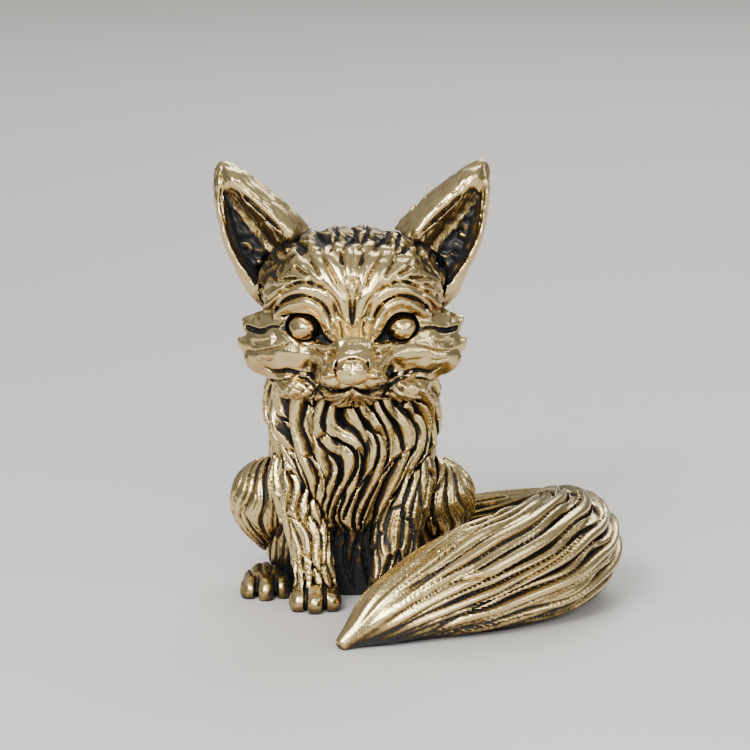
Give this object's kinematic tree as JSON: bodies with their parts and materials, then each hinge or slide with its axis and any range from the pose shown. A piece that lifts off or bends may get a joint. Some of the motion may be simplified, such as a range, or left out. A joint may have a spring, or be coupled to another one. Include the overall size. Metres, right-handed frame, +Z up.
{
  "type": "animal figurine",
  "caption": "Small seated fox cast in antiqued brass, with pricked ears, a shaggy chest ruff and a thick brush wrapped round its left side; stands free on its flat seat.",
  "frame": {"origin": "middle of the flat seat under the rump, on the surface that the fox sits on", "axes": "+Z up, the fox faces -Y, and +X is the fox's own left, where the brush wraps round"},
  "size_m": [0.0321, 0.0326, 0.0343],
  "materials": {
    "antique_brass": "cast brass, darkened in the recesses and rubbed bright on the high points"
  },
  "bodies": {
    "root": {"torso": "antique_brass", "chest_ruff": "antique_brass", "head": "antique_brass", "muzzle": "antique_brass", "nose": "antique_brass", "lower_jaw": "antique_brass", "crown_tufts": "antique_brass", "brush": "antique_brass", "left_ear": "antique_brass", "right_ear": "antique_brass", "left_eye": "antique_brass", "right_eye": "antique_brass", "left_eyelid": "antique_brass", "right_eyelid": "antique_brass", "left_brow": "antique_brass", "right_brow": "antique_brass", "left_cheek_tufts": "antique_brass", "right_cheek_tufts": "antique_brass", "left_foreleg": "antique_brass", "right_foreleg": "antique_brass", "left_fore_paw": "antique_brass", "right_fore_paw": "antique_brass", "left_haunch": "antique_brass", "right_haunch": "antique_brass", "left_hind_paw": "antique_brass", "right_hind_paw": "antique_brass"}
  },
  "joints": []
}
